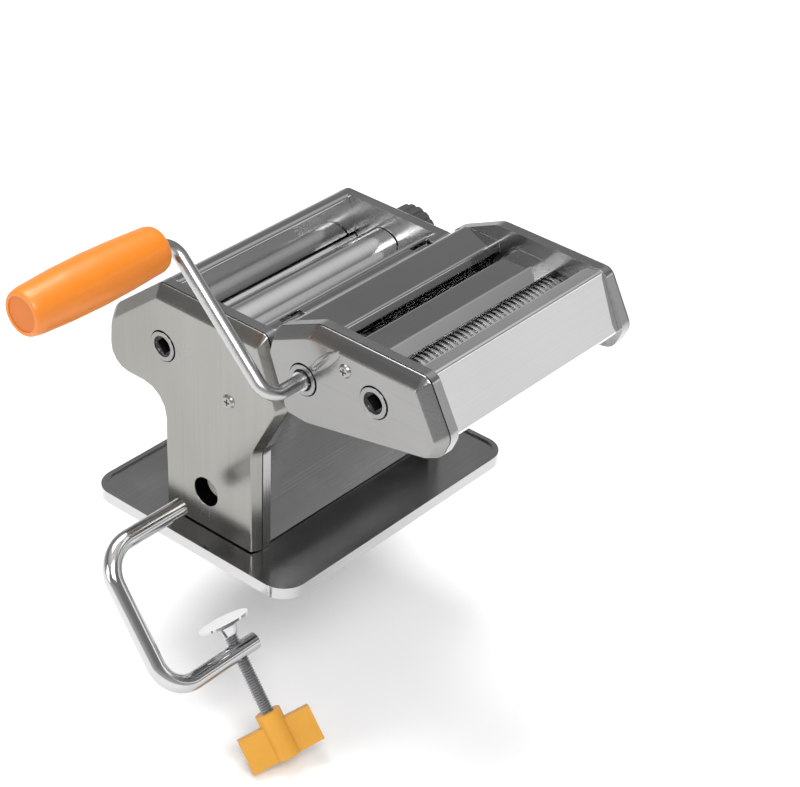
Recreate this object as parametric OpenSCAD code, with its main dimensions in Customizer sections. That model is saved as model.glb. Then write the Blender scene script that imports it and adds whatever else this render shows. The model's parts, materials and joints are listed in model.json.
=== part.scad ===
// Hand-cranked pasta machine: smooth rollers in a pressed steel body, a two-width cutter
// unit hung on the front, a crank, and a table clamp.
// X runs along the rollers (crank at -X), -Y is the cutter side, +Z is up, table at z = 0.

/* [Machine] */
// Clear width between the side plates, which the rollers fill
work_w = 138; // [112:1:170]
// Height of the body's top above the table
body_h = 149; // [122:1:182]
// Depth of the smooth drive roller's axis below the body's top
drive_drop = 35.4; // [24:0.1:49]
// How far the cutter unit's top stands above the body's top
unit_rise = 22.5; // [18:0.5:27]

/* [Base] */
// Depth of the base from front to rear
base_w = 154; // [126:1:186]
// How far the base stands out past each side plate's inner face
base_side = 28.5; // [25:0.5:36]
// Height of the base tray's deck
base_h = 6; // [5:0.5:8]
// Radius of the base's corners
base_r = 15; // [10:1:22]
// Thickness of the base's sheet
base_t = 1.4; // [1:0.1:2]
// Diameter of a rubber foot
foot_d = 15; // [12:1:18]

/* [Side plates and covers] */
// Thickness of a side plate's web
web_t = 1.5; // [1.2:0.1:2]
// Depth of a side plate's turned edge
flange_w = 6; // [5:0.5:7]
// Thickness of turned edges and sheets
sheet_t = 1; // [0.8:0.1:1.2]
// Depth of a pressed side cover
cover_d = 6.5; // [5.5:0.5:8]
// Width of the sloped border of a pressed side cover
cover_slope = 7; // [5:0.5:7.5]
// Seam between a cover and its side plate
seam = 0.5; // [0.3:0.1:0.8]
// Depth of the body at the table, front to rear
waist_w = 71; // [66:1:76]

/* [Smooth rollers] */
// Diameter of a smooth roller
roller_d = 27; // [22.5:0.5:28]
// Widest gap between the smooth rollers
gap_open = 2.5; // [2:0.1:3]
// Narrowest gap between the smooth rollers
gap_closed = 0.3; // [0.2:0.1:0.6]
// Slope of the line between the two smooth rollers' axes
nip_angle = 20; // [15:1:24]
// Number of teeth on a smooth roller's gear
roller_teeth = 12; // [12:1:12]
// Diameter of the adjusting dial
dial_d = 34; // [30:1:36]
// How far the dial pulls out before it turns
dial_pull = 4; // [3:0.5:4]

/* [Cutters] */
// Width of a wide noodle
wide_w = 6.5; // [5:0.5:8]
// Width of a narrow noodle
narrow_w = 2; // [1.8:0.1:3]
// Diameter of a cutter over its ribs
cutter_d = 21.2; // [20.5:0.1:21.6]
// Depth of a cutter's grooves
groove_d = 2.6; // [2:0.1:3]
// How far the ribs of a pair pass each other
rib_overlap = 1.3; // [1:0.1:1.6]
// Number of teeth on a cutter's gear
cutter_teeth = 16; // [16:1:16]

/* [Crank] */
// Diameter of the crank's rod
crank_d = 8; // [7:0.5:8]
// Length of the crank's arm between its two bends
arm_l = 95; // [80:1:114]
// Angle of the resting arm above the horizontal
arm_angle = 44; // [0:1:90]
// Length of the grip
grip_l = 91; // [76:1:109]
// Diameter of the grip at its thickest
grip_d = 29; // [25:1:34]
// Side of the square drive on the crank's tip
square_w = 8; // [7:0.1:8]

/* [Clamp] */
// Diameter of the clamp's rod
clamp_d = 10.6; // [8.8:0.1:12.8]
// Length of the clamp's leg between its two bends
leg_l = 86; // [72:1:103]
// Lean of the resting clamp away from upright
lean = 36.5; // [0:0.5:45]
// How far the clamp rests outside the side cover
clamp_out = 19.5; // [10:0.5:30]
// Height of the clamp hole above the table
hole_z = 31.3; // [28:0.1:36]
// Diameter of the clamp screw
screw_d = 7.6; // [6:0.2:8]
// Diameter of the swivel pad
pad_d = 30; // [24:1:34]

/* [Fits] */
// Running clearance on the radius of turning pieces
run = 0.06; // [0.02:0.01:0.1]
// Clearance on the radius of pieces that slide by hand
slip = 0.1; // [0.05:0.01:0.1]
// Open gap between a socket's ring and the cover around it
socket_gap = 0.6; // [0.4:0.1:1]
// Space kept between curved pieces that pass each other
pass = 0.35; // [0.3:0.05:0.5]

/* [Hidden] */
$fn = 64;

// Stations along X, measured outward from the middle
web_in = work_w / 2;
web_out = web_in + web_t;
rim_x = web_in + flange_w;
face_x = rim_x + seam + cover_d;
base_l = work_w + 2 * base_side;
gear_x = web_out + 1.3;
gear_t = 5.4;

// Axes in the YZ plane
roller_gap_mid = (gap_open + gap_closed) / 2;
eccentric = (gap_open - gap_closed) / 2;
nip_dir = [-cos(nip_angle), sin(nip_angle)];
drive_z = body_h - drive_drop;
drive_c = [30, drive_z];
adjust_c = drive_c + nip_dir * (roller_d + roller_gap_mid);
idler_c = drive_c + nip_dir * (roller_d + gap_open);
nip_c = drive_c + nip_dir * (roller_d + gap_open) / 2;
unit_h = body_h + unit_rise;
cutter_gap = cutter_d - rib_overlap;
cutter_dir = [-0.985, 0.173];
wide_c = [-73.6, unit_h - 33.3];
wide_idler_c = wide_c + cutter_dir * cutter_gap;
narrow_c = [-121.9, unit_h - 25.5];
narrow_idler_c = narrow_c + cutter_dir * cutter_gap;
hole_c = [-1.6, hole_z];

// The front edge of the body and the rear edge of the cutter unit run side by side
front_y = -39;
rear_y = front_y + waist_w;
rake = [14.5, 37] / norm([14.5, 37]);
rail_top = [-42.5, body_h];
nose_z = body_h - 40;
nose = rail_top - rake * (body_h - nose_z) / rake[1];
unit_gap = 2;
lobe_z = drive_z - 32.6;
lobe_y = drive_c[0] + 47;
shoulder_z = drive_z + 5.4;

// Outlines as corners [y, z, corner radius, share of the cover's slope on the next edge]
body_outline = [
  [front_y, base_h, 1.5, 0.15], [rear_y, base_h, 1.5, 0.5], [rear_y, lobe_z, 14, 0.5],
  [lobe_y, lobe_z, 17, 0.6], [lobe_y - 2.4, shoulder_z, 13, 1], [drive_c[0] + 7, body_h, 7, 1],
  [rail_top[0], body_h, 4, 0.6], [nose[0], nose[1], 7, 0.4], [front_y, nose_z - 36, 16, 0.4]
];
unit_back = rail_top - [unit_gap / rake[1], 0];
unit_low = unit_back - rake * (body_h - nose_z - 2.5) / rake[1];
unit_outline = [
  [unit_low[0], unit_low[1], 5, 0.5], [unit_back[0] - 1.8, unit_back[1] - 4.5, 4, 0.5],
  [unit_back[0] - 5, unit_h - 13.5, 6, 0.8], [-79, unit_h, 12, 1], [-152, unit_h, 7, 0.9],
  [-168, unit_h - 30, 9, 0.6], [-162, unit_h - 44, 9, 0.3], [-76, unit_h - 61, 14, 0.3]
];

// ---- Outline helpers -------------------------------------------------------

function unit(v) = v / norm(v);
function left(v) = [-v[1], v[0]];
function at(list, i) = list[(i + len(list)) % len(list)];
function flat(c) = [c[0], c[1]];
function turn(a, b, c) = (b[0] - a[0]) * (c[1] - b[1]) - (b[1] - a[1]) * (c[0] - b[0]);

// An arc of n steps in place of corner b
function corner(a, b, c, r, n) =
  let (
    u = unit(a - b), v = unit(c - b), half = acos(u * v) / 2,
    o = b + unit(u + v) * r / sin(half),
    p = b + u * r / tan(half) - o, q = b + v * r / tan(half) - o,
    start = atan2(p[1], p[0]), sweep = (atan2(q[1], q[0]) - start + 540) % 360 - 180
  )
  [for (i = [0:n]) o + r * [cos(start + sweep * i / n), sin(start + sweep * i / n)]];

// Corners moved inward by d times each edge's share plus a wall, with their radii kept parallel
function shrink(outline, d, wall = 0) = [
  for (i = [0:len(outline) - 1])
    let (
      a = at(outline, i - 1), b = outline[i], c = at(outline, i + 1),
      m = left(unit(flat(b) - flat(a))), k = left(unit(flat(c) - flat(b))),
      dm = d * a[3] + wall, dk = d * b[3] + wall, det = m[0] * k[1] - m[1] * k[0],
      bend = turn(a, b, c) > 0 ? -1 : 1
    )
    [
      b[0] + (dm * k[1] - dk * m[1]) / det, b[1] + (m[0] * dk - k[0] * dm) / det,
      max(b[2] + bend * (dm + dk) / 2, 0.8), b[3]
    ]
];
function loop(outline, n = 5) = [
  for (i = [0:len(outline) - 1])
    each corner(flat(at(outline, i - 1)), flat(outline[i]), flat(at(outline, i + 1)), outline[i][2], n)
];

// An open line through corners [y, z, r], rounded at every corner but its ends
function line(corners, n = 5) = concat(
  [flat(corners[0])],
  [
    for (i = [1:1:len(corners) - 2])
      each corner(flat(corners[i - 1]), flat(corners[i]), flat(corners[i + 1]), corners[i][2], n)
  ],
  [flat(corners[len(corners) - 1])]
);
// The same line moved to its left by d
function beside(p, d) = [
  for (i = [0:len(p) - 1])
    let (
      m = left(unit(p[max(i, 1)] - p[max(i, 1) - 1])),
      k = left(unit(p[min(i + 1, len(p) - 1)] - p[min(i, len(p) - 2)]))
    )
    p[i] + d * (m + k) / (1 + m * k)
];
function reverse(list) = [for (i = [len(list) - 1:-1:0]) list[i]];
function tilt(deg) = [cos(deg), sin(deg)];

// ---- Shape helpers ---------------------------------------------------------

// A YZ outline pulled along X
module along_x(x0, x1) {
  translate([x0, 0, 0]) rotate([90, 0, 90]) linear_extrude(x1 - x0) children();
}
module rod_x(x0, x1, c, d) {
  translate([x0, c[0], c[1]]) rotate([0, 90, 0]) cylinder(d = d, h = x1 - x0);
}
module ring_x(x0, x1, c, outer, inner) {
  difference() {
    rod_x(x0, x1, c, outer);
    rod_x(x0 - 1, x1 + 1, c, inner);
  }
}
// A bent sheet that spans between the side plates
module sheet(corners, side = 1, half = web_in) {
  path = line(corners);
  along_x(-half, half) polygon(concat(path, reverse(beside(path, side * sheet_t))));
}
// A closed ring of skin through outlines [x, points] with equal point counts
module skin_ring(sections) {
  n = len(sections[0][1]);
  m = len(sections);
  rotate([90, 0, 90]) polyhedron(
    points = [for (s = sections) each [for (p = s[1]) [p[0], p[1], s[0]]]],
    faces = [
      for (k = [0:m - 1], i = [0:n - 1], half = [0, 1])
        let (a = k * n, b = (k + 1) % m * n, j = (i + 1) % n)
        half == 0 ? [a + i, b + i, b + j] : [a + i, b + j, a + j]
    ]
  );
}
// A side plate: a web with its edge turned outward
module side_pan(outline) {
  difference() {
    along_x(web_in, rim_x) polygon(loop(outline));
    along_x(web_out, rim_x + 1) polygon(loop(shrink(outline, 0, sheet_t)));
  }
}
// A pressed cover: a dished sheet with a sloped border
module pressed_cover(outline) {
  x0 = rim_x + seam;
  flat = shrink(outline, cover_slope, sheet_t);
  skin_ring([
    [face_x - sheet_t, loop(flat, 4)],
    [x0 + 0.6, loop(shrink(outline, 0.4, sheet_t), 4)],
    [x0, loop(shrink(outline, 0, sheet_t), 4)],
    [x0, loop(outline, 4)],
    [x0 + 1, loop(shrink(outline, 0.5), 4)],
    [face_x - 1, loop(shrink(outline, cover_slope - 1.5), 4)],
    [face_x, loop(shrink(outline, cover_slope), 4)],
    [face_x, loop(flat, 4)]
  ]);
  along_x(face_x - sheet_t, face_x) polygon(loop(flat, 4));
}
function involute(a) = tan(a) * 180 / PI - a;
// Involute spur gear; thick is the tooth's width on the pitch circle
module gear_2d(teeth, pitch_d, add, ded, thick) {
  pitch_r = pitch_d / 2;
  base = pitch_r * cos(20);
  half = thick / pitch_d * 180 / PI;
  tip = pitch_r + add;
  low = max(base * 1.001, pitch_r - ded);
  flank = [for (i = [0:4]) let (r = low + (tip - low) * i / 4) [r, half + involute(20) - involute(acos(base / r))]];
  polygon([
    for (k = [0:teeth - 1]) let (mid = 360 / teeth * k) each concat(
      [(pitch_r - ded) * tilt(mid - flank[0][1] - 0.6)],
      [for (f = flank) f[0] * tilt(mid - f[1])],
      [for (f = reverse(flank)) f[0] * tilt(mid + f[1])],
      [(pitch_r - ded) * tilt(mid + flank[0][1] + 0.6)]
    )
  ]);
}
module gear_x(x0, c, toward, teeth, pitch_d, add, ded, thick, bore, gap_first = false) {
  facing = atan2(toward[1] - c[1], toward[0] - c[0]) + (gap_first ? 180 / teeth : 0);
  difference() {
    translate([x0, c[0], c[1]]) rotate([90, 0, 90]) rotate(facing) linear_extrude(gear_t)
      gear_2d(teeth, pitch_d, add, ded, thick);
    rod_x(x0 - 1, x0 + gear_t + 1, c, bore);
  }
}
module square_x(x0, x1, c, w) {
  translate([x0, c[0], c[1]]) rotate([45, 0, 0]) translate([0, -w / 2, -w / 2]) cube([x1 - x0, w, w]);
}
module both_sides() {
  children();
  mirror([1, 0, 0]) children();
}
// A screw head with its shank, pointing out along +X
module cross_screw(x, c, head, shank = 4, len = face_x - web_in) {
  difference() {
    union() {
      rod_x(x - len, x, c, shank);
      translate([x, c[0], c[1]]) rotate([0, 90, 0]) cylinder(d1 = head, d2 = head * 0.72, h = 1.5);
    }
    for (a = [0, 90]) translate([x + 1.2, c[0], c[1]]) rotate([a, 0, 0]) cube([1.4, 4.2, 0.9], center = true);
  }
}

// ---- Fixed sizes that follow from the fits ---------------------------------

journal_d = 12;
socket_d = 13;
socket_ring_d = 17.5;
socket_end = face_x + 0.6;
socket_back = 1.8;
tip_in = 12;
adjust_d = 12;
adjust_end_d = 9;
float_d = 16;
neck_d = 16;
neck_hole_d = neck_d + 2 * eccentric + 2.4;
bush_t = 2;
tie_d = 7;
cover_screw_c = [-19.8, body_h - 49];
tie_c = [cover_screw_c, [lobe_y - 19, lobe_z + 18], [rear_y - 14, lobe_z - 22]];
unit_screw_c = [-102.2, unit_h - 15.4];
clamp_bush_d = clamp_d + 2 * slip + 3;
clamp_hole_in = clamp_d + 2 * slip;
clamp_cover_hole = clamp_bush_d + 4.2;
roller_pitch = roller_d + roller_gap_mid;
guide_z = unit_h - 9.5;

// ---- Body ------------------------------------------------------------------

module rounded_slab(l, w, r, h) {
  linear_extrude(h) difference() {
    square([l, w], center = true);
    for (i = [-1, 1], j = [-1, 1]) translate([i * l / 2, j * w / 2]) difference() {
      square(2 * r, center = true);
      translate([-i * r, -j * r]) circle(r);
    }
  }
}
module base_plate() {
  lip = 7;
  bead = 3;
  color("dimgray") difference() {
    union() {
      difference() {
        rounded_slab(base_l, base_w, base_r, base_h + 1.2);
        translate([0, 0, base_h])
          rounded_slab(base_l - 2 * bead, base_w - 2 * bead, base_r - bead, 2);
      }
    }
    translate([0, 0, base_t])
      rounded_slab(base_l - 2 * base_t, base_w - 2 * base_t, base_r - base_t, base_h - 2 * base_t);
    translate([0, 0, -1])
      rounded_slab(base_l - 2 * lip, base_w - 2 * lip, base_r - lip, base_t + 2);
    for (i = [-1, 1], y = base_screw_y) translate([i * base_screw_x, y, base_h - 3]) cylinder(d = 4.2, h = 6);
  }
}
foot_inset = 18;
module rubber_feet() {
  color("black") for (i = [-1, 1], j = [-1, 1])
    translate([i * (base_l / 2 - foot_inset), j * (base_w / 2 - foot_inset), 0])
      cylinder(d = foot_d, h = base_h - base_t);
}
base_screw_x = web_out + 2.2;
base_screw_y = [front_y + 10, rear_y - 10];
module base_screws() {
  color("silver") for (i = [-1, 1], y = base_screw_y) translate([i * base_screw_x, y, 0]) {
    translate([0, 0, base_h - base_t - 2]) cylinder(d = 4, h = base_t + sheet_t + 2);
    translate([0, 0, base_h - base_t - 2]) cylinder(d = 6, h = 2);
  }
}
module side_plate_blank() {
  difference() {
    side_pan(body_outline);
    for (c = tie_c) rod_x(web_in - 1, web_out + 1, c, tie_d - 2);
    for (y = base_screw_y) translate([base_screw_x, y, base_h - 1]) cylinder(d = 4.2, h = 4);
  }
}
module near_side_plate() {
  color("silver") mirror([1, 0, 0]) difference() {
    side_plate_blank();
    rod_x(web_in - 1, web_out + 1, drive_c, socket_d + 2 * run + 2 * bush_t);
    rod_x(web_in - 1, web_out + 1, adjust_c, adjust_end_d + 2 * run + 2 * bush_t);
    rod_x(web_in - 1, web_out + 1, hole_c, clamp_bush_d + 2 * run);
  }
}
module far_side_plate() {
  color("silver") difference() {
    side_plate_blank();
    rod_x(web_in - 1, web_out + 1, drive_c, journal_d + 2 * run + 2 * bush_t);
    rod_x(web_in - 1, web_out + 1, adjust_c, neck_hole_d);
  }
}
module near_side_cover() {
  color("darkgray") mirror([1, 0, 0]) difference() {
    pressed_cover(body_outline);
    rod_x(rim_x, face_x + 1, drive_c, socket_ring_d + 2 * socket_gap);
    rod_x(rim_x, face_x + 1, hole_c, clamp_cover_hole);
    rod_x(rim_x, face_x + 1, cover_screw_c, 4.4);
  }
}
module far_side_cover() {
  color("darkgray") difference() {
    pressed_cover(body_outline);
    rod_x(rim_x, face_x + 1, adjust_c, adjust_bush_d);
    rod_x(rim_x, face_x + 1, cover_screw_c, 4.4);
  }
}
// The back of the body and the hopper's rear slope are one sheet
module rear_cover() {
  lip_c = drive_c + (roller_d / 2 + pass + sheet_t) * tilt(118);
  color("lightgray") sheet([
    [lip_c[0] + 0.5, lip_c[1] + 1.5, 0], [lip_c[0] + 6.5, body_h, 3], [drive_c[0] + 7, body_h, 7],
    [lobe_y - 2.4, shoulder_z, 13], [lobe_y, lobe_z, 17], [rear_y, lobe_z, 14], [rear_y, base_h, 0]
  ], -1);
}
slot_y = -33;
feed_lip = idler_c + (roller_d / 2 + 3) * tilt(139);
module hopper_front() {
  color("lightgray") sheet([
    [feed_lip[0], feed_lip[1], 0], [slot_y, body_h - 0.6, 2], [slot_y, body_h - 9, 0]
  ], 1);
}
rail_x = web_in - 16;
rail_w = 15;
rail_depth = 7;
rail_l = 32;
module rail_place(x) {
  translate([x, rail_top[0], rail_top[1]])
    rotate([-atan2(rake[0], rake[1]), 0, 0]) children();
}
module front_panel() {
  color("gray") difference() {
    sheet([
      [slot_y - 2.5, body_h - 7, 0], [slot_y - 2.5, body_h, 1.2], [rail_top[0], body_h, 3],
      [nose[0], nose[1], 3], [nose[0] + 9, nose[1] - 4, 0]
    ], 1);
    for (i = [-1, 1]) rail_place(i * rail_x)
      translate([-rail_w / 2 - 0.2, -3, -rail_l - 0.2]) cube([rail_w + 0.4, 12, rail_l + 10]);
  }
}
// Two channels, open at the top, that take the cutter unit's tongues
module unit_rails() {
  color("silver") for (i = [-1, 1]) rail_place(i * rail_x) difference() {
    translate([-rail_w / 2, 0, -rail_l]) cube([rail_w, rail_depth, rail_l - 0.3]);
    translate([-3.2, -1, -rail_l + 3]) cube([6.4, 4, rail_l]);
    translate([-5.7, 1.5, -rail_l + 3]) cube([11.4, 3.9, rail_l]);
  }
}
module exit_chute() {
  color("gray") sheet([
    [drive_c[0] - 4, lobe_z + 13, 0], [4, base_h + 50, 55], [front_y + 2, base_h + 1.2, 0]
  ], 1);
}
module tie_rods() {
  color("silver") for (c = tie_c) rod_x(-web_in, web_in, c, tie_d);
}
module cover_screws() {
  color("silver") both_sides() cross_screw(face_x, cover_screw_c, 8.5);
}
// A blade below each smooth roller keeps the sheet from wrapping round it
module scraper(c, deg, reach) {
  translate([-web_in, c[0], c[1]]) rotate([deg, 0, 0])
    translate([0, 0, -roller_d / 2 - reach - scraper_w]) cube([2 * web_in, sheet_t, scraper_w]);
}
scraper_w = 8;
module roller_scrapers() {
  color("silver") {
    scraper(drive_c, -30, pass);
    scraper(adjust_c, -10, eccentric + pass);
  }
}

// ---- Smooth rollers --------------------------------------------------------

adjust_bush_d = adjust_end_d + 2 * run + 2 * bush_t;
module drive_bushes() {
  color("ivory") {
    mirror([1, 0, 0]) ring_x(web_in + 0.1, web_out + 0.1, drive_c, socket_d + 2 * run + 2 * bush_t, socket_d + 2 * run);
    ring_x(web_in + 0.1, web_out + 0.1, drive_c, journal_d + 2 * run + 2 * bush_t, journal_d + 2 * run);
  }
}
roller_half = web_in - 0.6;
// The driven end of a shaft, set back inside its ring
module driven_end(c) {
  rod_x(-socket_end + socket_back, -roller_half + 1, c, socket_d);
  mirror([1, 0, 0]) ring_x(socket_end - 3.1, socket_end, c, socket_ring_d, socket_d - 0.4);
}
module drive_roller() {
  color("silver") difference() {
    union() {
      rod_x(-roller_half, roller_half, drive_c, roller_d);
      driven_end(drive_c);
      rod_x(roller_half - 1, gear_x + gear_t + 0.8, drive_c, journal_d);
    }
    square_x(-socket_end - 1, -socket_end + tip_in + 1, drive_c, square_w + 2 * slip);
  }
}
module drive_gear() {
  color("gray") gear_x(gear_x, drive_c, idler_c, roller_teeth, roller_pitch, 1.9, 3.3, 2.3, journal_d);
}
module idler_roller() {
  color("silver") difference() {
    union() {
      rod_x(-roller_half, roller_half, idler_c, roller_d);
      rod_x(roller_half - 1, gear_x + gear_t + 0.4, idler_c, neck_d);
    }
    rod_x(-roller_half - 1, roller_half - 8, idler_c, float_d);
    rod_x(-roller_half, gear_x + gear_t + 2, idler_c, adjust_d + 0.8);
  }
}
module idler_gear() {
  color("gray") gear_x(gear_x, idler_c, drive_c, roller_teeth, roller_pitch, 1.9, 3.3, 2.3, neck_d, true);
}
// The shaft's middle is off its own axis, so turning it moves the roller it carries
module adjust_shaft() {
  color("silver") {
    rod_x(-roller_half - 0.3, gear_x + gear_t + 1.5, idler_c, adjust_d);
    rod_x(-web_out - 2, -roller_half, adjust_c, adjust_end_d);
    rod_x(gear_x + gear_t + 1, face_x + 3, adjust_c, adjust_end_d);
    square_x(face_x + 2, dial_x + dial_t + 0.4, adjust_c, adjust_square);
  }
}
adjust_square = 6;
module adjust_bushes() {
  color("ivory") {
    mirror([1, 0, 0]) ring_x(web_in + 0.1, web_out + 0.1, adjust_c, adjust_bush_d, adjust_end_d + 2 * run);
    ring_x(face_x - 2, face_x, adjust_c, adjust_bush_d, adjust_end_d + 2 * run);
  }
}
// Holds the idler roller square while the shaft inside it turns
module float_sleeve() {
  color("peru") ring_x(-roller_half + 0.5, roller_half - 8.5, idler_c, float_d - 2 * run, adjust_d + 2 * run);
}
dial_x = face_x + 3;
dial_t = 14;
dial_floor = 5;
dial_pocket_d = 15;
pin_r = 12.5;
pin_d = 3;
dial_steps = 7;
// Turn of the dial between its first and last number
dial_turn = 180;
module dial_plate() {
  color("silver") translate([face_x, adjust_c[0], adjust_c[1]]) rotate([90, 0, 90]) difference() {
    cylinder(d = dial_d + 2, h = 1.4);
    translate([0, 0, -1]) cylinder(d = adjust_bush_d + 1, h = 4);
    translate([0, 0, -1]) rotate(180) rotate_extrude(angle = dial_turn)
      translate([pin_r - pin_d / 2 - 0.3, 0]) square([pin_d + 0.6, 4]);
    for (i = [0:dial_steps - 1]) rotate(180 + i * dial_turn / (dial_steps - 1))
      translate([pin_r, 0, -1]) cylinder(d = pin_d + 1, h = 4);
  }
}
module adjust_dial() {
  color("dimgray") difference() {
    union() {
      rod_x(dial_x, dial_x + dial_t, adjust_c, dial_d);
      rod_x(face_x + 0.5, dial_x + 1, adjust_c + [-pin_r, 0], pin_d);
    }
    rod_x(dial_x + dial_floor, dial_x + dial_t + 1, adjust_c, dial_pocket_d);
    square_x(dial_x - 1, dial_x + dial_t, adjust_c, adjust_square + 2 * slip);
    for (i = [0:17]) translate([0, adjust_c[0], adjust_c[1]]) rotate([i * 20, 0, 0])
      rod_x(dial_x + 2, dial_x + dial_t + 1, [0, dial_d / 2 + 1], 3.4);
  }
}
// Drawn at its pressed length
module dial_spring() {
  color("silver") ring_x(dial_x + dial_floor + dial_pull + 0.1, dial_x + dial_t, adjust_c, 12, 9.6);
}
module dial_washer() {
  color("silver") ring_x(dial_x + dial_t, dial_x + dial_t + 1, adjust_c, 13.5, 9);
}
module dial_screw() {
  color("silver") difference() {
    union() {
      rod_x(dial_x + dial_t + 0.4, dial_x + dial_t + 1, adjust_c, 9);
      rod_x(dial_x + dial_t + 1, dial_x + dial_t + 2.6, adjust_c, 11);
    }
    for (a = [0, 90]) translate([dial_x + dial_t + 2.4, adjust_c[0], adjust_c[1]]) rotate([a, 0, 0])
      cube([1.2, 5, 1], center = true);
  }
}

// ---- Clamp -----------------------------------------------------------------

bush_in = 34;
// A turning liner for the clamp's arm
module clamp_bush() {
  color("ivory") mirror([1, 0, 0]) difference() {
    union() {
      rod_x(web_in - bush_in, web_out + 0.3, hole_c, clamp_bush_d);
      rod_x(web_out + 0.2, web_out + 2, hole_c, clamp_bush_d + 3);
    }
    rod_x(web_in - bush_in - 1, web_out + 3, hole_c, clamp_hole_in);
  }
}
arm_end_x = -(face_x + clamp_out);
leg_x = arm_end_x - 60;
low_end_x = arm_end_x + 5;
clamp_bend = 19;
screw_x = arm_end_x - 8;
function down(t) = [-sin(lean) * t, -cos(lean) * t];
// Local frame of the leaning clamp: its hole axis along X, its leg towards -Z
module clamp_frame() {
  translate([0, hole_c[0], hole_c[1]]) rotate([-lean, 0, 0]) children();
}
module quarter_bend(r, d) {
  rotate_extrude(angle = 90) translate([r, 0]) circle(d = d);
}
module clamp_rod() {
  color("gainsboro") clamp_frame() difference() {
    union() {
      translate([leg_x + clamp_bend, 0, 0]) rotate([0, 90, 0])
        cylinder(d = clamp_d, h = arm_end_x - leg_x - clamp_bend);
      translate([leg_x + clamp_bend, 0, -clamp_bend]) rotate([90, 0, 0]) rotate([0, 0, 90])
        quarter_bend(clamp_bend, clamp_d);
      translate([leg_x, 0, -leg_l + clamp_bend]) cylinder(d = clamp_d, h = leg_l - 2 * clamp_bend);
      translate([leg_x + clamp_bend, 0, -leg_l + clamp_bend]) rotate([90, 0, 0]) rotate([0, 0, 180])
        quarter_bend(clamp_bend, clamp_d);
      translate([leg_x + clamp_bend, 0, -leg_l]) rotate([0, 90, 0])
        cylinder(d = clamp_d, h = low_end_x - leg_x - clamp_bend);
    }
    translate([screw_x, 0, -leg_l - clamp_d]) cylinder(d = screw_d + 2 * run, h = 2 * clamp_d);
  }
}
pad_top = 19;
knob_top = 38;
knob_l = 28;
module clamp_screw() {
  color("lightsteelblue") clamp_frame() translate([screw_x, 0, -leg_l]) {
    translate([0, 0, -knob_top - 18]) cylinder(d = screw_d, h = knob_top + 18 + pad_top - 9);
    translate([0, 0, pad_top - 9.2]) cylinder(d = 4, h = 5.2);
  }
}
wing_l = 44;
wing_h = 21;
wing_t = 7;
wing_turn = -30;
module wing_knob() {
  color("goldenrod") clamp_frame() translate([screw_x, 0, -leg_l - knob_top]) rotate([0, 0, wing_turn])
    difference() {
      union() {
        translate([0, 0, -knob_l]) cylinder(d = 15, h = knob_l);
        translate([-wing_l / 2, -wing_t / 2, -knob_l]) cube([wing_l, wing_t, wing_h]);
      }
      translate([0, 0, -18]) cylinder(d = screw_d, h = 20);
    }
}
module swivel_pad() {
  color("gainsboro") clamp_frame() translate([screw_x, 0, -leg_l + pad_top]) difference() {
    union() {
      translate([0, 0, -1.4]) cylinder(d = pad_d, h = 1.4);
      translate([0, 0, -3.4]) cylinder(d1 = 13, d2 = 20, h = 2.2);
      translate([0, 0, -8.8]) cylinder(d1 = 9, d2 = 13, h = 5.6);
    }
    translate([0, 0, -10]) cylinder(d = 4 + 2 * run, h = 6.2);
  }
}

// ---- Crank -----------------------------------------------------------------

crank_bend = 10;
collar_t = 1.8;
crank_x = -(face_x + 26);
grip_x0 = crank_x - 10;
grip_axis = wide_c + arm_l * tilt(arm_angle);
grip_end = grip_x0 - grip_l;
// The rod is riveted over inside the grip, and a cap closes the grip's end
head_d = 11.5;
head_t = 1.6;
head_in = 9;
cap_in = 4;
module crank_frame() {
  translate([0, wide_c[0], wide_c[1]]) rotate([arm_angle, 0, 0]) children();
}
module crank_rod() {
  color("silver") {
    square_x(-face_x - 1, -socket_end + tip_in, wide_c, square_w);
    rod_x(-socket_end - collar_t, -socket_end + 0.8, wide_c, crank_d + 2.6);
    crank_frame() {
      translate([crank_x + crank_bend, 0, 0]) rotate([0, 90, 0])
        cylinder(d = crank_d, h = -face_x - crank_x - crank_bend);
      translate([crank_x + crank_bend, crank_bend, 0]) rotate([0, 0, 180]) quarter_bend(crank_bend, crank_d);
      translate([crank_x, crank_bend, 0]) rotate([-90, 0, 0]) cylinder(d = crank_d, h = arm_l - 2 * crank_bend);
      translate([crank_x - crank_bend, arm_l - crank_bend, 0]) quarter_bend(crank_bend, crank_d);
      translate([grip_end + head_in, arm_l, 0]) rotate([0, 90, 0])
        cylinder(d = crank_d, h = crank_x - crank_bend - grip_end - head_in);
      translate([grip_end + head_in, arm_l, 0]) rotate([0, 90, 0]) cylinder(d = head_d, h = head_t);
    }
  }
}
cap_d = 19;
module crank_grip() {
  r = grip_d / 2;
  color("orange") translate([grip_x0, grip_axis[0], grip_axis[1]]) rotate([0, -90, 0]) rotate_extrude()
    polygon([
      [crank_d / 2 + run, 0], [r * 0.72, 0], [r * 0.82, 1.2], [r * 0.88, 4], [r * 0.96, grip_l * 0.28],
      [r, grip_l * 0.5], [r * 0.98, grip_l * 0.72], [r * 0.9, grip_l - 5], [r * 0.84, grip_l - 1.2],
      [r * 0.78, grip_l], [cap_d / 2, grip_l], [cap_d / 2, grip_l - cap_in],
      [head_d / 2 + 0.5, grip_l - cap_in], [head_d / 2 + 0.5, grip_l - head_in - head_t - 0.2],
      [crank_d / 2 + run, grip_l - head_in - head_t - 0.2]
    ]);
}
module grip_cap() {
  color("chocolate") rod_x(grip_end + 0.6, grip_end + cap_in, grip_axis, cap_d);
}

// ---- Cutter unit -----------------------------------------------------------

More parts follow.
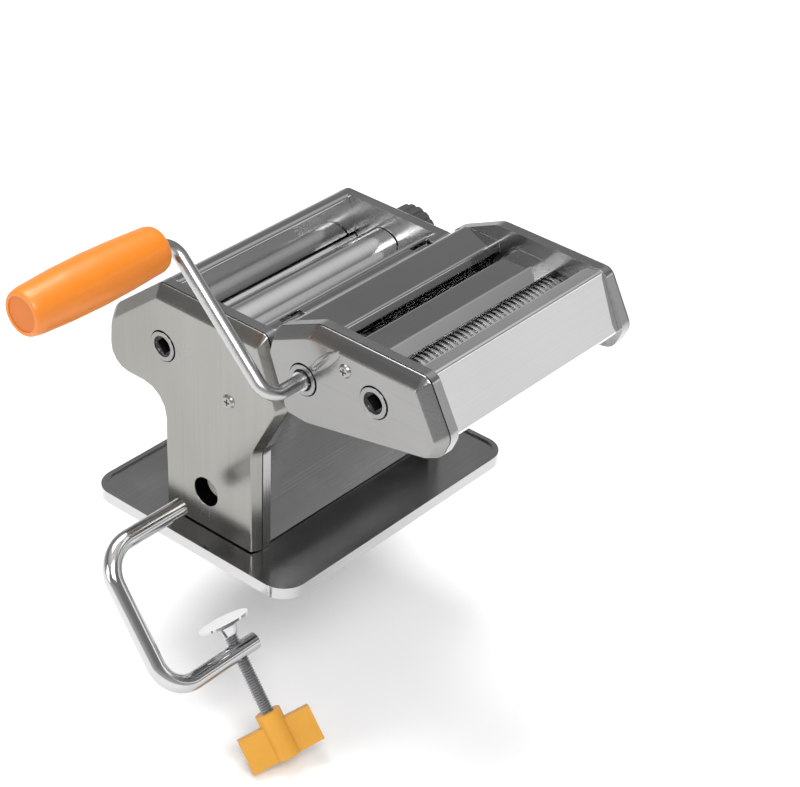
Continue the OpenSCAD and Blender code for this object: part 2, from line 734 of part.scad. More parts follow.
unit_tie_c = [unit_screw_c, [-62, unit_h - 47], [-150, unit_h - 38]];
cutter_journal_d = 8;
module unit_plate_blank() {
  difference() {
    side_pan(unit_outline);
    for (c = unit_tie_c) rod_x(web_in - 1, web_out + 1, c, 4.6);
    for (c = [wide_idler_c, narrow_idler_c])
      rod_x(web_in - 1, web_out + 1, c, cutter_journal_d + 2 * run + 2 * bush_t);
  }
}
module unit_near_plate() {
  color("silver") mirror([1, 0, 0]) difference() {
    unit_plate_blank();
    for (c = [wide_c, narrow_c]) rod_x(web_in - 1, web_out + 1, c, socket_d + 2 * run + 2);
  }
}
module unit_far_plate() {
  color("silver") difference() {
    unit_plate_blank();
    for (c = [wide_c, narrow_c]) rod_x(web_in - 1, web_out + 1, c, cutter_journal_d + 2 * run + 2 * bush_t);
  }
}
module unit_near_cover() {
  color("lightgray") mirror([1, 0, 0]) difference() {
    pressed_cover(unit_outline);
    for (c = [wide_c, narrow_c]) rod_x(rim_x, face_x + 1, c, socket_ring_d + 2 * socket_gap);
    rod_x(rim_x, face_x + 1, unit_screw_c, 4.4);
  }
}
module unit_far_cover() {
  color("lightgray") difference() {
    pressed_cover(unit_outline);
    rod_x(rim_x, face_x + 1, unit_screw_c, 4.4);
  }
}
// A point on the unit's back, t below the body's top along the rake
function along_back(t, r = 0) = concat(rail_top - rake * t - [rake[1], -rake[0]] * (unit_gap + 0.4), [r]);
module unit_rear_guide() {
  color("gray") sheet([
    along_back(body_h - nose_z - 1), along_back(8, 6), [unit_back[0] - 10, guide_z, 5],
    [wide_c[0] - 7, guide_z, 2], [wide_c[0] - 8.2, guide_z - 8, 0]
  ], 1);
}
module unit_middle_guide() {
  color("dimgray") sheet([
    [wide_idler_c[0] + 6.6, wide_idler_c[1] + cutter_d / 2 + 1.5, 0], [wide_idler_c[0] - 1, guide_z, 2],
    [narrow_c[0] + 11, guide_z, 3], [narrow_c[0] + 4, guide_z - 4.6, 0]
  ], 1);
}
module unit_front_panel() {
  color("whitesmoke") sheet([
    [-139.5, unit_h - 6, 0], [-141, unit_h - 1.2, 1.5], [-150.6, unit_h - 0.3, 2.4],
    [-165.2, unit_h - 32.5, 1.5], [-161, unit_h - 35, 0]
  ], 1);
}
tongue_l = rail_l - 3.8;
module unit_tongues() {
  color("silver") for (i = [-1, 1]) rail_place(i * rail_x) {
    translate([-2.9, -unit_gap - 0.4, -rail_l + 3.3]) cube([5.8, unit_gap + 2.4, tongue_l]);
    translate([-5.4, 1.8, -rail_l + 3.3]) cube([10.8, 3.3, tongue_l]);
  }
}
module unit_tie_rods() {
  color("silver") for (c = unit_tie_c) rod_x(-web_in, web_in, c, 6);
}
module unit_screws() {
  color("silver") both_sides() cross_screw(face_x, unit_screw_c, 8);
}
module unit_bushes() {
  color("ivory") both_sides() for (c = [wide_idler_c, narrow_idler_c])
    ring_x(web_in + 0.1, web_out + 0.1, c, cutter_journal_d + 2 * run + 2 * bush_t, cutter_journal_d + 2 * run);
  color("ivory") for (c = [wide_c, narrow_c]) {
    mirror([1, 0, 0]) ring_x(web_in + 0.1, web_out + 0.1, c, socket_d + 2 * run + 2, socket_d + 2 * run);
    ring_x(web_in + 0.1, web_out + 0.1, c, cutter_journal_d + 2 * run + 2 * bush_t, cutter_journal_d + 2 * run);
  }
}
rib_side = 0.15;
// A ribbed bar: ribs as wide as the noodle, every second place, offset for the mate
module ribbed_bar(c, w, shift) {
  count = floor(roller_half / w) - 1;
  rod_x(-roller_half, roller_half, c, cutter_d - 2 * groove_d);
  for (i = [-count:count]) if ((i + shift + 1000) % 2 == 0)
    rod_x(i * w - w / 2 + rib_side / 2, i * w + w / 2 - rib_side / 2, c, cutter_d);
  both_sides() rod_x(roller_half - 1.2, roller_half, c, cutter_d - 2 * rib_overlap - 1);
}
module cutter_driven(c, w) {
  difference() {
    union() {
      ribbed_bar(c, w, 0);
      driven_end(c);
      rod_x(roller_half - 1, web_out + 1, c, cutter_journal_d);
    }
    square_x(-socket_end - 1, -socket_end + tip_in + 1, c, square_w + 2 * slip);
  }
}
module cutter_idle(c, w) {
  ribbed_bar(c, w, 1);
  both_sides() rod_x(roller_half - 1, web_out + 1, c, cutter_journal_d);
  rod_x(-gear_x - gear_t - 0.4, -web_out, c, cutter_journal_d);
}
module cutter_gear(c, toward, bore, gap_first) {
  gear_x(-gear_x - gear_t, c, toward, cutter_teeth, cutter_gap, 1.1, 1.5, 1.65, bore, gap_first);
}
module wide_drive_cutter() { color("silver") cutter_driven(wide_c, wide_w); }
module wide_idler_cutter() { color("silver") cutter_idle(wide_idler_c, wide_w); }
module narrow_drive_cutter() { color("silver") cutter_driven(narrow_c, narrow_w); }
module narrow_idler_cutter() { color("silver") cutter_idle(narrow_idler_c, narrow_w); }
module wide_drive_gear() { color("gray") cutter_gear(wide_c, wide_idler_c, socket_d, false); }
module wide_idler_gear() { color("gray") cutter_gear(wide_idler_c, wide_c, cutter_journal_d, true); }
module narrow_drive_gear() { color("gray") cutter_gear(narrow_c, narrow_idler_c, socket_d, false); }
module narrow_idler_gear() { color("gray") cutter_gear(narrow_idler_c, narrow_c, cutter_journal_d, true); }
// Fingers that stand in a cutter's grooves from below and lift the noodles out
module comb(c, w, shift) {
  count = floor(roller_half / w) - 1;
  core = cutter_d / 2 - groove_d;
  strip = 8;
  base_z = c[1] - cutter_d / 2 - pass - strip;
  translate([-web_in, c[0] - sheet_t / 2, base_z]) cube([2 * web_in, sheet_t, strip]);
  for (i = [-count:count]) if ((i + shift + 1000) % 2 == 1)
    translate([i * w - w / 2 + 0.35, c[0] - sheet_t / 2, base_z + strip - 0.5])
      cube([w - 0.7, sheet_t, c[1] - core - pass - base_z - strip + 0.5]);
}
module wide_combs() { color("silver") { comb(wide_c, wide_w, 0); comb(wide_idler_c, wide_w, 1); } }
module narrow_combs() { color("silver") { comb(narrow_c, narrow_w, 0); comb(narrow_idler_c, narrow_w, 1); } }

base_plate();
rubber_feet();
near_side_plate();
far_side_plate();
near_side_cover();
far_side_cover();
rear_cover();
hopper_front();
front_panel();
exit_chute();
tie_rods();
cover_screws();
base_screws();
roller_scrapers();
drive_bushes();
drive_roller();
drive_gear();
adjust_shaft();
adjust_bushes();
float_sleeve();
idler_roller();
idler_gear();
dial_plate();
adjust_dial();
dial_spring();
dial_washer();
dial_screw();
unit_rails();
clamp_bush();
clamp_rod();
clamp_screw();
wing_knob();
swivel_pad();
crank_rod();
crank_grip();
grip_cap();
unit_near_plate();
unit_far_plate();
unit_near_cover();
unit_far_cover();
unit_rear_guide();
unit_middle_guide();
unit_front_panel();
unit_tongues();
unit_tie_rods();
unit_screws();
unit_bushes();
wide_drive_cutter();
wide_idler_cutter();
wide_drive_gear();
wide_idler_gear();
wide_combs();
narrow_drive_cutter();
narrow_idler_cutter();
narrow_drive_gear();
narrow_idler_gear();
narrow_combs();
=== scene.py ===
# %% [markdown]
# A hand-cranked pasta machine: sheet-steel side covers, two smooth rollers, a lift-off cutter
# unit, a crank and a table clamp. The solid model arrives already built to size, so this lesson
# softens its edges, adds the pieces that need a finer surface, and paints everything.
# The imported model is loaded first, and its size is noted before anything is added.

import json
import math

import bpy
import bmesh
from mathutils import Matrix, Vector


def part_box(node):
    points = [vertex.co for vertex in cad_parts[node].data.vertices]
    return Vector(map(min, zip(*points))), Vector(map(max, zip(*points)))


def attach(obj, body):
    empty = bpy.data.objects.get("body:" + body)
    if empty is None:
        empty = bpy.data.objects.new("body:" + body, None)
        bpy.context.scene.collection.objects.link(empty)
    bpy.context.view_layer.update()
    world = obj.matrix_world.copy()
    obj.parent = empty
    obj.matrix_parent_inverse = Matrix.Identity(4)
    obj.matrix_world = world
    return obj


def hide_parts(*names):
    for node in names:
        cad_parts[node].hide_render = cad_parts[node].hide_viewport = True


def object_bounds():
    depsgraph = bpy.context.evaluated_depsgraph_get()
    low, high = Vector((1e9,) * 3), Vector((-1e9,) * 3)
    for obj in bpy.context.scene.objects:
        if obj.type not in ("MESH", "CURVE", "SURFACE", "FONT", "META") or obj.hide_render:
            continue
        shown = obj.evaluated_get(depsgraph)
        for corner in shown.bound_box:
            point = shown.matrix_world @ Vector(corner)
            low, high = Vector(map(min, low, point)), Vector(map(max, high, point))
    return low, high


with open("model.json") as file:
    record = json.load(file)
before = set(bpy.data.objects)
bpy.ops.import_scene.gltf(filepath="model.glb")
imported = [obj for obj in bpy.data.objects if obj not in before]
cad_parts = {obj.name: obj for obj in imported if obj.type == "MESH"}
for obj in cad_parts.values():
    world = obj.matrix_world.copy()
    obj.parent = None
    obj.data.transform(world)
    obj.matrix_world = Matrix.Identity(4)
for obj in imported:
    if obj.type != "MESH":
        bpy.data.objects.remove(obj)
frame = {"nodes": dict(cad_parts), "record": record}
cad_low, cad_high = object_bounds()
bodies = frame["record"]["behaviour"]["bodies"]
body_of_node = {n: b for b, members in bodies.items() for n in members}
slot_of_node = {p["node"]: p["material_slot"] for p in frame["record"]["subparts"]}
print("nodes", len(frame["nodes"]), "size", [round(v, 4) for v in cad_high - cad_low])

# %% [markdown]
# The camera looks down on the crank side from the left. It is placed by its bearing, its height
# angle and a small roll, because those three are easy to read and to change one at a time.

# %% Camera
BEARING = math.radians(-50.5777)
HEIGHT = math.radians(33.2008)
ROLL = math.radians(-2.3882)
EYE = Vector((-0.8287251, -0.7526824, 0.7918965))

right = Vector((math.cos(BEARING), math.sin(BEARING), 0))
back = Vector((math.sin(BEARING) * math.cos(HEIGHT), -math.cos(BEARING) * math.cos(HEIGHT), math.sin(HEIGHT)))
up = back.cross(right)
rolled_right = math.cos(ROLL) * right - math.sin(ROLL) * up
rolled_up = math.sin(ROLL) * right + math.cos(ROLL) * up
lens = bpy.data.cameras.new("camera")
lens.lens = 104.68
lens.sensor_width = 36
camera = bpy.data.objects.new("camera", lens)
bpy.context.collection.objects.link(camera)
camera.matrix_world = Matrix((
    (rolled_right.x, rolled_up.x, back.x, EYE.x),
    (rolled_right.y, rolled_up.y, back.y, EYE.y),
    (rolled_right.z, rolled_up.z, back.z, EYE.z),
    (0, 0, 0, 1),
))
bpy.context.scene.camera = camera
print("camera at", [round(v, 3) for v in camera.matrix_world.translation])

# %% [markdown]
# Polished steel shows little of its own colour: it shows the room. The room here is a pale
# studio whose light falls off towards the horizon, with soft panels overhead. The bands in the
# world's gradient are what puts the dark and bright streaks on the metal.

# %% World and lights
world = bpy.data.worlds.new("studio")
bpy.context.scene.world = world
world.use_nodes = True
tree = world.node_tree
tree.nodes.clear()
coordinates = tree.nodes.new("ShaderNodeTexCoord")
split = tree.nodes.new("ShaderNodeSeparateXYZ")
ramp = tree.nodes.new("ShaderNodeValToRGB")
sky = tree.nodes.new("ShaderNodeBackground")
world_out = tree.nodes.new("ShaderNodeOutputWorld")
tree.links.new(coordinates.outputs["Generated"], split.inputs[0])
tree.links.new(split.outputs["Z"], ramp.inputs[0])
tree.links.new(ramp.outputs[0], sky.inputs[0])
tree.links.new(sky.outputs[0], world_out.inputs[0])
ramp.color_ramp.elements[0].position = 0.0
ramp.color_ramp.elements[0].color = (0.75, 0.75, 0.76, 1)
ramp.color_ramp.elements[1].position = 0.95
ramp.color_ramp.elements[1].color = (1.0, 1.0, 1.0, 1)
for place, grey in ((0.20, 0.60), (0.40, 0.30), (0.57, 0.22), (0.72, 0.60)):
    stop = ramp.color_ramp.elements.new(place)
    stop.color = (grey, grey, grey, 1)
sky.inputs["Strength"].default_value = 1.0
# A plain display transform keeps white paper white and orange plastic saturated.
bpy.context.scene.view_settings.view_transform = "Standard"


def panel(name, place, aim, width, height, power):
    """A soft rectangular light that faces a point."""
    light = bpy.data.lights.new(name, "AREA")
    light.shape = "RECTANGLE"
    light.size = width
    light.size_y = height
    light.energy = power
    lamp = bpy.data.objects.new(name, light)
    bpy.context.collection.objects.link(lamp)
    lamp.location = place
    lamp.rotation_euler = (Vector(aim) - Vector(place)).to_track_quat("-Z", "Y").to_euler()
    return lamp


panel("key_panel", (-0.9, -1.2, 1.6), (0, 0, 0.1), 1.2, 0.8, 27)
panel("top_panel", (0.1, 0.4, 1.9), (0, 0, 0.1), 1.4, 1.0, 33)
panel("side_panel", (-1.9, 0.5, 0.7), (0, 0, 0.1), 0.8, 1.0, 10)
panel("hopper_fill", (2.6, -2.76, 1.18), (0, 0.03, 0.14), 2.0, 0.34, 3.4)

# %% [markdown]
# The machine hangs over a table's edge in use, so its clamp reaches lower than its base. The
# pale floor lies just under the lowest piece.

# %% Floor
FLOOR_DROP = 0.001
bpy.ops.object.select_all(action="DESELECT")
bpy.ops.mesh.primitive_plane_add(size=30, location=(0, 0, cad_low.z - FLOOR_DROP))
floor = bpy.context.object
floor.name = "studio_floor"
print("floor at", round(floor.location.z, 4))

# %% [markdown]
# Each finish is a small network of shader nodes. Written one node at a time such networks are
# long, so two helpers keep them readable: Value lets a pattern be added, multiplied and compared
# like a number, and Finish makes a material and any node in it.

# %% Helpers for shader networks
class Value:
    """A number that changes over a surface, used like a number in Python."""

    def __init__(self, tree, socket):
        self.tree = tree
        self.socket = socket

    def math(self, operation, first, second=0.0):
        node = self.tree.nodes.new("ShaderNodeMath")
        node.operation = operation
        for socket, item in zip(node.inputs, (first, second)):
            connect(self.tree, item, socket)
        return Value(self.tree, node.outputs[0])

    def __add__(self, other):
        return self.math("ADD", self, other)

    def __radd__(self, other):
        return self.math("ADD", other, self)

    def __sub__(self, other):
        return self.math("SUBTRACT", self, other)

    def __rsub__(self, other):
        return self.math("SUBTRACT", other, self)

    def __mul__(self, other):
        return self.math("MULTIPLY", self, other)

    def __rmul__(self, other):
        return self.math("MULTIPLY", other, self)

    def clear(self):
        """The same number held between 0 and 1."""
        return self.math("MINIMUM", self.math("MAXIMUM", self, 0.0), 1.0)


def connect(tree, item, socket):
    """Links a Value to a socket, or writes a plain number, colour or vector on it."""
    if isinstance(item, Value):
        tree.links.new(item.socket, socket)
    else:
        socket.default_value = item


class Finish:
    """One material with a Principled shader, and a single way to add any other node."""

    def __init__(self, name, colour, metallic=0.0, roughness=0.5, **constants):
        self.material = bpy.data.materials.new(name)
        self.material.use_nodes = True
        self.tree = self.material.node_tree
        self.shader = self.tree.nodes["Principled BSDF"]
        self.set("Base Color", (*colour, 1))
        self.set("Metallic", metallic)
        self.set("Roughness", roughness)
        for socket, number in constants.items():
            self.set(socket.replace("_", " "), number)

    def set(self, socket, item):
        connect(self.tree, item, self.shader.inputs[socket])

    def add(self, kind, settings=None, sockets=None, out=0):
        """Adds a node: its settings first, then the values or links of its sockets."""
        node = self.tree.nodes.new("ShaderNode" + kind)
        for key, item in (settings or {}).items():
            if key == "stops":
                stops = node.color_ramp.elements
                while len(stops) < len(item):
                    stops.new(0.5)
                for stop, (place, colour) in zip(stops, item):
                    stop.position = place
                    stop.color = (*colour, 1)
            else:
                setattr(node, key, item)
        for key, item in (sockets or {}).items():
            connect(self.tree, item, node.inputs[key])
        return Value(self.tree, node.outputs[out])

    def stretched(self, scale, turn=(0, 0, 0)):
        """Object coordinates, stretched so that a pattern runs long in one direction."""
        place = self.add("TexCoord", out=3)
        return self.add("Mapping", None, {"Vector": place, "Rotation": turn, "Scale": scale})

    def noise(self, scale, size=1.0, detail=3.0, turn=(0, 0, 0)):
        """A grey cloud pattern, one repeat in about a metre divided by scale."""
        return self.add("TexNoise", None, {
            "Vector": self.stretched(scale, turn), "Scale": size, "Detail": detail})

    def blend(self, amount, first, second):
        """A colour between two colours."""
        return self.add("Mix", {"data_type": "RGBA"}, {0: amount, 6: first, 7: second}, out=2)

    def bump(self, height, distance, strength=1.0):
        self.set("Normal", self.add("Bump", None, {
            "Height": height, "Distance": distance, "Strength": strength}))


def colour(*rgb):
    return (*rgb, 1)


print("helpers ready")

# %% [markdown]
# Sheet steel is rolled, so its finest marks all run one way, and it is then polished and
# handled, which leaves faint clouds. One recipe makes every steel here: long fine lines for the
# rolling, a slow cloud for the polish, and a few smears that dull the gloss. On the side covers the
# slow cloud in the colour is made deep, so there it is partly painted reflection.

# %% Steel finishes
def steel(name, tone, roughness, grain, lines=0.05, clouds=0.10, relief=0.000004, warm=0.0,
          depth=0.13):
    """Polished metal. grain is the pattern's scale along X, Y and Z: the small one is its run."""
    finish = Finish(name, (tone, tone, tone), metallic=1.0, roughness=roughness)
    fine = finish.noise(grain, detail=4.0)
    slow = finish.noise((9, 9, 9), detail=2.0)
    smear = finish.noise((34, 34, 34), detail=5.0)
    low = tone * (1 - depth)
    high = min(tone * (1 + depth), 0.95)
    dark = colour(low + warm * 0.01, low + warm * 0.006, low - warm * 0.012)
    light = colour(high, high - warm * 0.002, high - warm * 0.02)
    finish.set("Base Color", finish.blend(slow * 0.7 + fine * 0.3, dark, light))
    spots = ((smear - 0.52) * 4).clear()
    finish.set("Roughness", fine * lines + slow * clouds + spots * 0.05 + (roughness - 0.4 * clouds))
    finish.bump(fine, relief * 100, 0.12)
    return finish.material


LONG_X = (6, 900, 900)
LONG_Z = (900, 900, 6)
ROUND = (60, 60, 60)
finishes = {
    # The covers' depth of 0.30 and 0.26 deepens the slow cloud: painted reflection, soft light and dark
    # streaks in the colour, on top of the polish clouds.
    "cover_steel": steel("cover_steel", 0.27, 0.22, (700, 700, 8), lines=0.03, clouds=0.08,
                         warm=0.9, depth=0.30),
    "unit_cover_steel": steel("unit_cover_steel", 0.26, 0.18, (700, 8, 700), lines=0.03,
                              clouds=0.08, warm=0.2, depth=0.26),
    "plate_steel": steel("plate_steel", 0.40, 0.18, LONG_Z),
    "mirror_steel": steel("mirror_steel", 0.52, 0.08, LONG_X, lines=0.012, clouds=0.02, relief=0.0000002),
    "panel_steel": steel("panel_steel", 0.92, 0.10, LONG_X, lines=0.015, clouds=0.02, relief=0.000001),
    "dark_steel": steel("dark_steel", 0.46, 0.12, LONG_X, lines=0.03, clouds=0.06),
    "turned_steel": steel("turned_steel", 0.50, 0.26, LONG_X),
    "screw_steel": steel("screw_steel", 0.30, 0.24, ROUND),
    "roller_steel": steel("roller_steel", 0.75, 0.10, (900, 6, 6), lines=0.04, clouds=0.04),
    "gear_steel": steel("gear_steel", 0.40, 0.32, ROUND),
    "clamp_chrome": steel("clamp_chrome", 0.50, 0.10, ROUND, lines=0.02, clouds=0.06),
    "zinc_steel": steel("zinc_steel", 0.34, 0.24, ROUND, warm=-0.5),
    "crank_chrome": steel("crank_chrome", 0.42, 0.22, ROUND),
    "sleeve_bronze": steel("sleeve_bronze", 0.42, 0.34, ROUND, warm=7.0),
    "cutter_steel": steel("cutter_steel", 0.62, 0.18, (900, 20, 20), relief=0.0000004),
}
print("steels", len(finishes))

# %% [markdown]
# The grip and the wing knob are moulded plastic with a faint orange-peel surface; the nylon
# bushes and the rubber feet are duller. Their colour drifts a little, as moulded plastic's does.

# %% Plastic and rubber finishes
def plastic(name, tone, roughness, grain, relief, drift=0.12, **constants):
    finish = Finish(name, tone, roughness=roughness, **constants)
    slow = finish.noise((22, 22, 22), detail=2.0)
    fine = finish.noise((grain, grain, grain), detail=3.0)
    low = colour(*(c * (1 - drift) for c in tone))
    high = colour(*(min(c * (1 + drift), 1) for c in tone))
    finish.set("Base Color", finish.blend(slow * 0.75 + fine * 0.25, low, high))
    finish.set("Roughness", fine * 0.12 + slow * 0.10 + (roughness - 0.1))
    finish.bump(fine, relief, 0.25)
    return finish.material


finishes["orange_grip"] = plastic("orange_grip", (0.60, 0.165, 0.005), 0.38, 260, 0.0004, Coat_Weight=0.15)
finishes["orange_cap"] = plastic("orange_cap", (0.52, 0.13, 0.006), 0.55, 400, 0.0005)
finishes["ochre_plastic"] = plastic("ochre_plastic", (0.56, 0.265, 0.024), 0.42, 300, 0.0004)
finishes["bush_nylon"] = plastic("bush_nylon", (0.62, 0.61, 0.57), 0.5, 500, 0.0003)
finishes["dial_plastic"] = plastic("dial_plastic", (0.03, 0.03, 0.032), 0.45, 600, 0.0005)
finishes["foot_rubber"] = plastic("foot_rubber", (0.02, 0.02, 0.02), 0.7, 700, 0.0006)
paper = Finish("floor_paper", (0.93, 0.93, 0.93), roughness=0.75)
paper.set("Roughness", paper.noise((40, 40, 40)) * 0.1 + 0.7)
floor.data.materials.append(paper.material)
print("finishes", len(finishes))

# %% [markdown]
# No pressed or machined edge is truly sharp. Every solid gets a narrow rounded edge from
# modifiers: Weld joins its loose triangles, Bevel rounds each edge that turns enough, and
# Weighted Normal keeps the flat faces flat. The node's own mesh stays as it was.

# %% Finish on every node
COVERS = ("near_side_cover", "far_side_cover", "unit_near_cover", "unit_far_cover")
COVER_EDGE = 0.0011
PLAIN_EDGE = 0.00025
for node, piece in frame["nodes"].items():
    piece.data.materials.clear()
    piece.data.materials.append(finishes[slot_of_node[node]])
    for face in piece.data.polygons:
        face.use_smooth = True
        face.material_index = 0
    weld = piece.modifiers.new("weld", "WELD")
    weld.merge_threshold = 0.00001
    if node in COVERS:
        flat = piece.modifiers.new("flat", "DECIMATE")
        flat.decimate_type = "DISSOLVE"
        flat.angle_limit = math.radians(0.5)
    bevel = piece.modifiers.new("edge", "BEVEL")
    bevel.width = COVER_EDGE if node in COVERS else PLAIN_EDGE
    bevel.segments = 4 if node in COVERS else 2
    bevel.limit_method = "ANGLE"
    bevel.angle_limit = math.radians(32)
    bevel.harden_normals = False
    normals = piece.modifiers.new("normals", "WEIGHTED_NORMAL")
    normals.keep_sharp = True
print("painted", len(frame["nodes"]))

# %% [markdown]
# The crank's square end enters a square hole in each driven shaft. Its walls get near-black steel:
# painted shade of the recess. They are found by their distance from the shaft's own axis.

# %% Dark sockets
turned_ring = steel("turned_ring", 0.26, 0.24, ROUND)
# Near-black steel for the socket walls: painted shade of the recess.
socket_shade = steel("socket_painted_shade", 0.05, 0.5, ROUND)
SOCKET_REACH = 0.0062
SHAFT_END = -0.06
FACE_SKIN = 0.001
RING_SKIN = 0.0005
for node in ("drive_roller", "wide_drive_cutter", "narrow_drive_cutter"):
    piece = frame["nodes"][node]
    low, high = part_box(node)
    axis_y = (low.y + high.y) / 2
    axis_z = (low.z + high.z) / 2
    piece.data.materials.append(socket_shade)
    piece.data.materials.append(turned_ring)
    dark = 0
    for face in piece.data.polygons:
        spot = face.center
        reach = math.hypot(spot.y - axis_y, spot.z - axis_z)
        faces_out = face.normal.x < -0.9
        in_hole = spot.x < SHAFT_END and reach < SOCKET_REACH
        # Faces inside the hole get the painted shade.
        if in_hole and (not faces_out or spot.x > low.x + FACE_SKIN):
            face.material_index = 1
            dark += 1
        elif faces_out and spot.x < low.x + RING_SKIN:
            face.material_index = 2
    print("socket walls on", node, dark)

# %% [markdown]
# The clamp's screw is a rolled thread. Its outline over one pitch is drawn once and wound up the
# axis by a Screw modifier, as a thread-rolling die would form it. The crest keeps the solid
# model's diameter, so the screw still passes its nut.

# %% Threaded clamp screw
LEAN = math.radians(36.5)
HOLE = Vector((0, -0.0016, 0.0313))
SCREW_X = -0.1095
CREST = 0.0038
ROOT = 0.0030
PITCH = 0.0015
THREAD_LOW = -0.142
TURNS = 44


def lean_into_place(piece):
    """Moves a piece from the clamp's own upright frame to its leaning place."""
    bpy.ops.object.select_all(action="DESELECT")
    piece.select_set(True)
    bpy.context.view_layer.objects.active = piece
    piece.rotation_euler = (-LEAN, 0, 0)
    piece.location = HOLE + Matrix.Rotation(-LEAN, 3, "X") @ Vector((SCREW_X, 0, 0))
    bpy.ops.object.transform_apply(location=True, rotation=True, scale=True)


def pick(piece, test):
    """In edit mode, selects the points of a piece that pass a test, and nothing else."""
    bpy.ops.mesh.select_all(action="DESELECT")
    shape = bmesh.from_edit_mesh(piece.data)
    for point in shape.verts:
        point.select_set(test(point.co))
    shape.select_flush(True)
    bmesh.update_edit_mesh(piece.data)


bpy.ops.object.select_all(action="DESELECT")
bpy.ops.mesh.primitive_plane_add(size=PITCH, rotation=(math.radians(90), 0, 0))
thread = bpy.context.object
thread.name = "clamp_thread"
bpy.ops.object.transform_apply(location=True, rotation=True, scale=True)
bpy.ops.object.mode_set(mode="EDIT")
bpy.ops.mesh.select_all(action="SELECT")
bpy.ops.transform.resize(value=((CREST - ROOT) / PITCH, 1, 1), center_override=(0, 0, 0))
pick(thread, lambda place: place.x > 0)
bpy.ops.transform.resize(value=(1, 1, 0.16), center_override=(0, 0, 0))
pick(thread, lambda place: place.x < 0)
bpy.ops.mesh.select_mode(type="EDGE")
bpy.ops.mesh.delete(type="EDGE_FACE")
bpy.ops.mesh.select_mode(type="VERT")
bpy.ops.mesh.select_all(action="SELECT")
bpy.ops.transform.translate(value=((CREST + ROOT) / 2, 0, THREAD_LOW + PITCH / 2))
bpy.ops.object.mode_set(mode="OBJECT")
print("outline of one pitch", len(thread.data.vertices), "points", len(thread.data.edges), "edges")
wind = thread.modifiers.new("wind", "SCREW")
wind.axis = "Z"
wind.screw_offset = PITCH
wind.iterations = TURNS - 1
wind.steps = 32
wind.render_steps = 32
wind.use_merge_vertices = True
wind.merge_threshold = 0.00001
bpy.context.view_layer.objects.active = thread
thread.select_set(True)
bpy.ops.object.modifier_apply(modifier="wind")
bpy.ops.object.mode_set(mode="EDIT")
bpy.ops.mesh.select_all(action="SELECT")
bpy.ops.mesh.remove_doubles(threshold=0.00001)
bpy.ops.mesh.fill_holes(sides=0)
bpy.ops.mesh.select_all(action="SELECT")
bpy.ops.mesh.normals_make_consistent(inside=False)
bpy.ops.object.mode_set(mode="OBJECT")
bpy.ops.object.select_all(action="DESELECT")
bpy.ops.mesh.primitive_cylinder_add(vertices=32, radius=0.002, depth=0.0052, location=(0, 0, -0.0736))
thread.select_set(True)
bpy.context.view_layer.objects.active = thread
bpy.ops.object.join()
lean_into_place(thread)
thread.data.materials.append(finishes["zinc_steel"])
bpy.ops.object.select_all(action="DESELECT")
thread.select_set(True)
bpy.ops.object.shade_smooth_by_angle(angle=math.radians(25))
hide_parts("clamp_screw")
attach(thread, body_of_node["clamp_screw"])
print("thread", len(thread.data.polygons), "faces")

# %% [markdown]
# The unit's side cover has a step pressed beside its upper socket, where the sheet is drawn in
# to clear the crank. It is a low soft ridge: one side steep, one side long, fading at both ends.

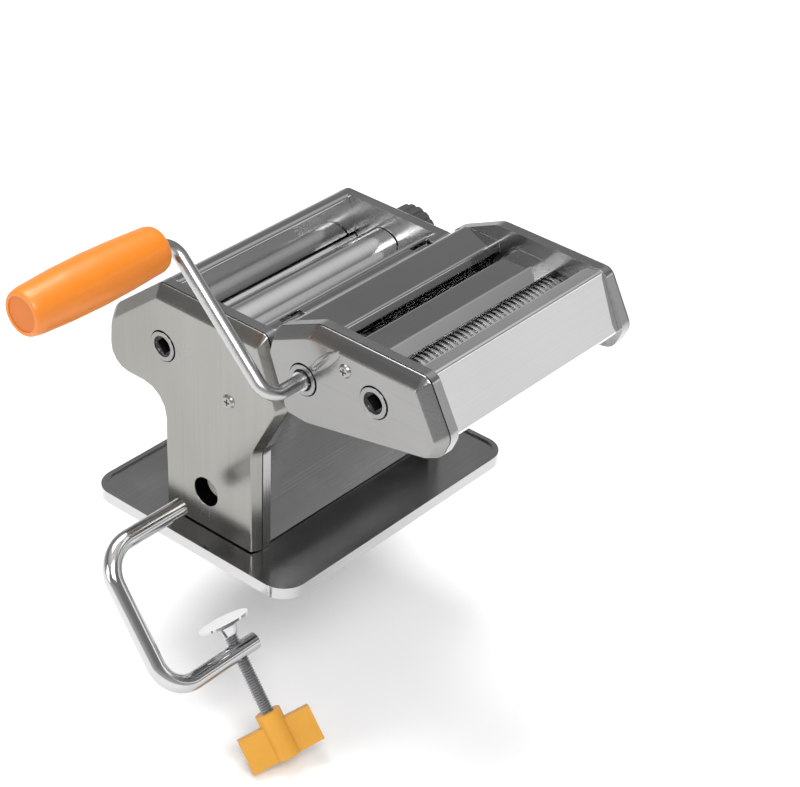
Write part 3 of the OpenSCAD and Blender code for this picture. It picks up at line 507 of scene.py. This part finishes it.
# %% Pressed step on the unit's cover
STEP_HIGH = 0.0012
STEP_LONG = 0.0128
STEP_WIDE = 0.0046
STEP_STEEP = 0.0022
STEP_BOW = 0.0007
STEP_PLACE = (-0.0820, -0.0888, 0.1568)
bpy.ops.object.select_all(action="DESELECT")
bpy.ops.mesh.primitive_uv_sphere_add(segments=24, ring_count=28, radius=1)
step = bpy.context.object
step.name = "pressed_step"
bpy.ops.object.mode_set(mode="EDIT")
bpy.ops.mesh.select_all(action="SELECT")
bpy.ops.transform.resize(value=(STEP_HIGH, STEP_WIDE, STEP_LONG), center_override=(0, 0, 0))
pick(step, lambda place: place.y > 0.00001)
bpy.ops.transform.resize(value=(1, STEP_STEEP / STEP_WIDE, 1), center_override=(0, 0, 0))
pick(step, lambda place: abs(place.z) < 0.003)
bpy.ops.transform.translate(
    value=(0, STEP_BOW, 0), use_proportional_edit=True, proportional_size=0.009)
bpy.ops.object.mode_set(mode="OBJECT")
step.rotation_euler = (math.radians(45), 0, 0)
step.location = STEP_PLACE
bpy.ops.object.transform_apply(location=True, rotation=True, scale=True)
bpy.ops.object.shade_smooth()
step.data.materials.append(finishes["unit_cover_steel"])
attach(step, body_of_node["unit_near_cover"])
print("step", len(step.data.polygons), "faces")

# %% [markdown]
# The thickness dial carries plain digits on its face, pad-printed in white.

# %% Digits on the dial
dial_low, dial_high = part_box("adjust_dial")
dial_middle = (dial_low + dial_high) / 2
DIGIT_REACH = 0.0141
digits = []
for n in range(1, 8):
    bpy.ops.object.select_all(action="DESELECT")
    bpy.ops.object.text_add()
    digit = bpy.context.object
    digit.data.body = str(n)
    digit.data.size = 0.0042
    digit.data.extrude = 0.00008
    digit.data.align_x = "CENTER"
    digit.data.align_y = "CENTER"
    bpy.ops.object.convert(target="MESH")
    angle = math.radians(90 - (n - 1) * 30)
    digit.matrix_world = (
        Matrix.Translation((dial_high.x + 0.00002, dial_middle.y + DIGIT_REACH * math.cos(angle),
                            dial_middle.z + DIGIT_REACH * math.sin(angle)))
        @ Matrix.Rotation(angle - math.pi / 2, 4, "X")
        @ Matrix(((0, 0, 1, 0), (1, 0, 0, 0), (0, 1, 0, 0), (0, 0, 0, 1))))
    digits.append(digit)
bpy.ops.object.select_all(action="DESELECT")
for digit in digits:
    digit.select_set(True)
bpy.context.view_layer.objects.active = digits[0]
bpy.ops.object.join()
numbers = bpy.context.object
numbers.name = "dial_numbers"
bpy.ops.object.transform_apply(location=True, rotation=True, scale=True)
finishes["dial_ink"] = plastic("dial_ink", (0.80, 0.80, 0.78), 0.55, 900, 0.0001)
numbers.data.materials.append(finishes["dial_ink"])
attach(numbers, body_of_node["adjust_dial"])
print("digits", len(numbers.data.polygons), "faces")
